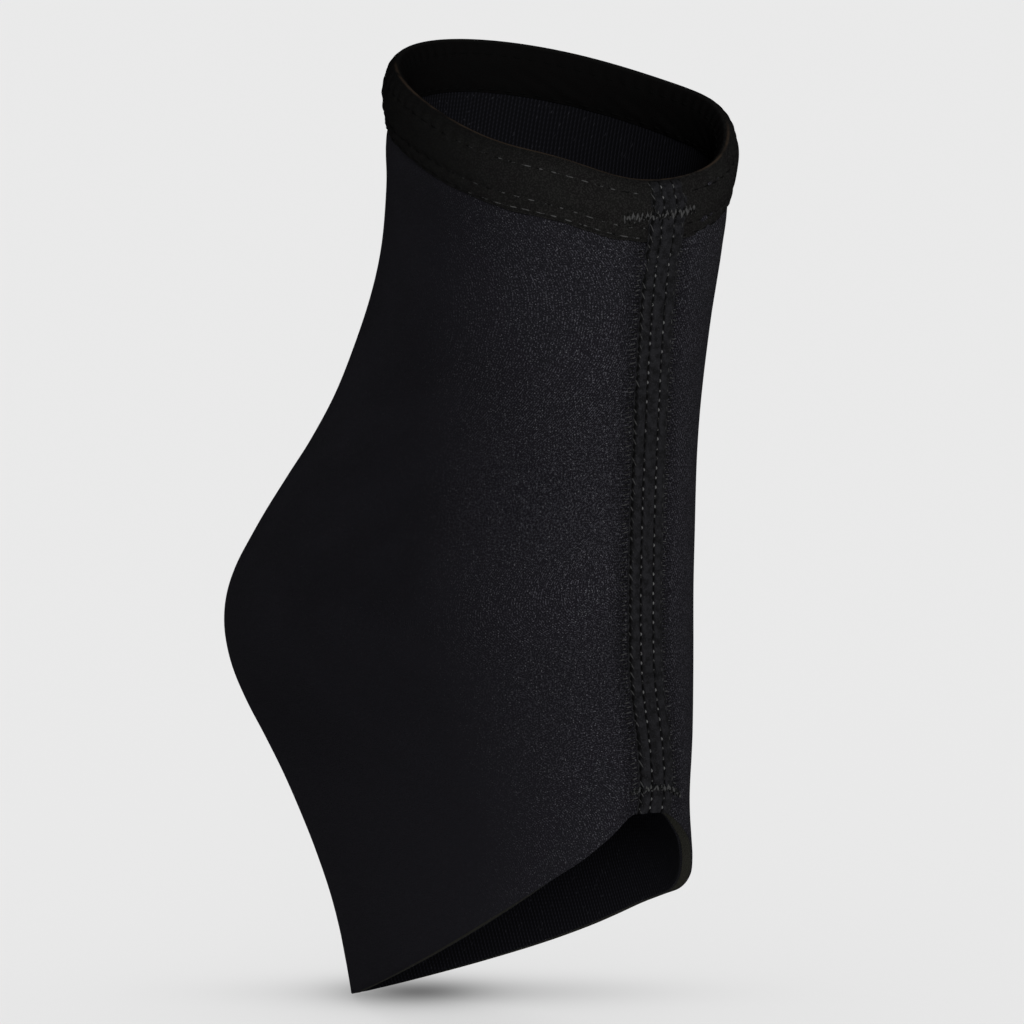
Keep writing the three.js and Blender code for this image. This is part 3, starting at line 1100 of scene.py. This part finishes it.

# %% [markdown]
# The seam band is the same jersey, pressed smooth between the needle rows, with painted shade in the
# grooves of the needle rows. The thread is a twisted polyester yarn with a faint shine. Its sparkle is
# painted highlights in the stitches' colour, on the front beside the seam, which is why the stitches
# sparkle when the black cloth round them does not.

# %% Finishes of the seam band and the thread
def band_finish():
    f = Finish("seam_band", roughness=0.85, specular=0.01)
    cloth = f.cloth_map()
    mottle = f.noise(cloth, 0.5, detail=3.0)
    fibre = f.noise(cloth, 2.4, detail=2.0)
    colour = f.blend(f.ramp(mottle, 0.35, 0.65), grey(0.0062, blue=1.08), grey(0.0125, blue=1.12))
    colour = f.blend(f.math("MULTIPLY", f.ramp(fibre, 0.5, 0.75), 0.5), colour, grey(0.024, blue=1.1))
    # Painted shade in the grooves of the needle rows.
    groove = f.attribute("beside")
    colour = f.blend(f.ramp(groove, 0.25, 0.9), colour, grey(0.0025))
    return f.finish(colour, f.bump(f.math("ADD", mottle, fibre), 0.3))


def thread_finish(name, glint_lightness, specular=0.1, glint_fades_beyond=0.020):
    """Thread with painted highlights beside the seam, fading towards the back and beyond the seam."""
    f = Finish(name, roughness=0.6, specular=specular)
    place = f.object_place()
    forward, left, _ = f.add("SeparateXYZ", {0: place}).outputs
    glint_scatter = f.noise(place, 900, detail=2.0)
    kept = f.rest_of(f.ramp(left, 0.5 * glint_fades_beyond, glint_fades_beyond))
    # Painted highlights, scattered over the thread on the front and fading towards the back and beyond the
    # seam.
    painted_glints = f.times(f.ramp(glint_scatter, 0.42, 0.58), f.ramp(forward, 0.016, 0.038), kept)
    return f.finish(f.blend(painted_glints, grey(0.0032), grey(glint_lightness)))


seam.data.materials.append(band_finish())
seam_rows.data.materials.append(thread_finish("sewing_thread", 0.09))
rim_thread.data.materials.append(thread_finish("rim_thread", 0.045, specular=0.0, glint_fades_beyond=0.008))
tacks.data.materials.append(thread_finish("tack_thread", 0.042, specular=0.03))
seam_loops.data.materials.append(thread_finish("cover_thread", 0.036, specular=0.03))
# The inner rim thread lies in shade inside the rim, so its painted highlights are the faintest.
inner_thread.data.materials.append(thread_finish("inner_thread", 0.014, specular=0.0))
print("finishes:", sorted(material.name for material in bpy.data.materials))

# %% [markdown]
# The brace stands on pale paper that runs on past the picture. One large square does for it, a little below
# the tip of the sole, so that nothing touches. It is the stage and no part of the brace.

# %% Build the floor
FLOOR_HALF = 6.0
FLOOR_CLEAR = 0.4
floor_level = float(shell_outer[..., 2].min()) - FLOOR_CLEAR

floor_bm = bmesh.new()
bmesh.ops.create_grid(floor_bm, x_segments=1, y_segments=1, size=FLOOR_HALF)
bmesh.ops.translate(floor_bm, verts=floor_bm.verts, vec=(0, 0, floor_level * MM))
floor_mesh = bpy.data.meshes.new("floor")
floor_bm.to_mesh(floor_mesh)
floor_bm.free()
floor = shown(floor_mesh, "floor")
print("floor level in mm:", round(floor_level, 1))

# %% [markdown]
# Light comes from all round the table, so the shadow is only a small soft pool where the sole nearly
# touches. It is laid on the paper as two soft ovals of shade: a dark one close to the tip and a wide faint
# one.

# %% Finish of the floor, with its pool of shade
POOL_BEHIND = 1.5
POOL_WIDTH = 13.6
# Each pool: how far beside the tip its middle lies, half its length, and how dark its middle is.
POOLS = [(12.5, 16.3, 0.50), (24.2, 42, 0.29)]
tip = shell_outer[np.unravel_index(shell_outer[..., 2].argmin(), shell_outer.shape[:2])]
aside = np.array([math.cos(VIEW_AZIMUTH), math.sin(VIEW_AZIMUTH)])
behind = np.array([-math.sin(VIEW_AZIMUTH), math.cos(VIEW_AZIMUTH)])


def pool(f, aside_mm, half_length):
    """1 in the middle of an oval on the floor, fading outwards."""
    middle = (tip[:2] + aside_mm * aside + POOL_BEHIND * behind) * MM
    place = f.object_place()
    moved = f.add("VectorMath", {0: place, 1: (*middle, 0)}, operation="SUBTRACT").outputs[0]
    level = f.add("VectorMath", {0: moved, 1: (1, 1, 0)}, operation="MULTIPLY").outputs[0]
    oval = f.turned(level, -math.degrees(VIEW_AZIMUTH), (1, 1, 1))
    size = (1 / (half_length * MM), 1 / (POOL_WIDTH * MM), 0)
    scaled = f.add("VectorMath", {0: oval, 1: size}, operation="MULTIPLY").outputs[0]
    away = f.add("VectorMath", {0: scaled}, operation="LENGTH").outputs["Value"]
    return f.math("POWER", math.e, f.math("MULTIPLY", f.math("MULTIPLY", away, away), -1.0))


paper = Finish("floor_paper", roughness=1.0, specular=0.0)
shades = [paper.math("MULTIPLY", pool(paper, beside, half), dark) for beside, half, dark in POOLS]
shade = paper.math("ADD", *shades)
floor.data.materials.append(paper.finish(paper.blend(shade, (0.80, 0.80, 0.80, 1), (0, 0, 0, 1))))
print("tip of the sole in mm:", tip.round(1))

# %% [markdown]
# A black thing on a pale floor needs little light on the floor and a lot on the cloth. The surround is an
# even white that fills the shadows. Two broad lamps light only the brace: the key, from the front right,
# brightens the panel beside the seam and falls off towards the heel, and a weaker one behind picks out the
# slope above the heel. A third, high above, lights only the floor. It draws no shadow, because the pool of
# shade is in the floor's finish already.

# %% Set up the lamps
LAMP_DISTANCE = 2.0
BROAD = {"shape": "DISK", "size": 0.7}
SURROUND = 0.225


def lamp(name, kind, azimuth, elevation, power, lit, **shape):
    """A lamp that looks at the brace, lights only the objects in lit and is shaded only by them."""
    data = bpy.data.lights.new(name, kind)
    data.energy = power
    for key, value in shape.items():
        setattr(data, key, value)
    holder = bpy.data.objects.new(name, data)
    bpy.context.scene.collection.objects.link(holder)
    away = towards(math.radians(azimuth), math.radians(elevation))
    holder.location = VIEW_TARGET + away * LAMP_DISTANCE
    holder.rotation_euler = away.to_track_quat("Z", "Y").to_euler()
    receivers = bpy.data.collections.new(name + "_lights")
    for thing in lit:
        receivers.objects.link(thing)
    holder.light_linking.receiver_collection = receivers
    holder.light_linking.blocker_collection = receivers


brace_pieces = [panel, lining, tape, seam, rim_thread, inner_thread, seam_rows, seam_loops, tacks]
lamp("key", "AREA", azimuth=62, elevation=22, power=31, lit=brace_pieces, **BROAD)
lamp("heel_lamp", "AREA", azimuth=-75, elevation=50, power=20, lit=[panel], **BROAD)
lamp("floor_lamp", "SUN", azimuth=48, elevation=86, power=2.52, lit=[floor], angle=math.radians(55))
world = bpy.data.worlds.new("surround")
bpy.context.scene.world = world
world.use_nodes = True
background = world.node_tree.nodes["Background"]
background.inputs["Color"].default_value = (1, 1, 1, 1)
background.inputs["Strength"].default_value = SURROUND
bpy.context.scene.view_settings.view_transform = "Standard"
print("lamps:", [(light.name, light.type, light.energy) for light in bpy.data.lights])
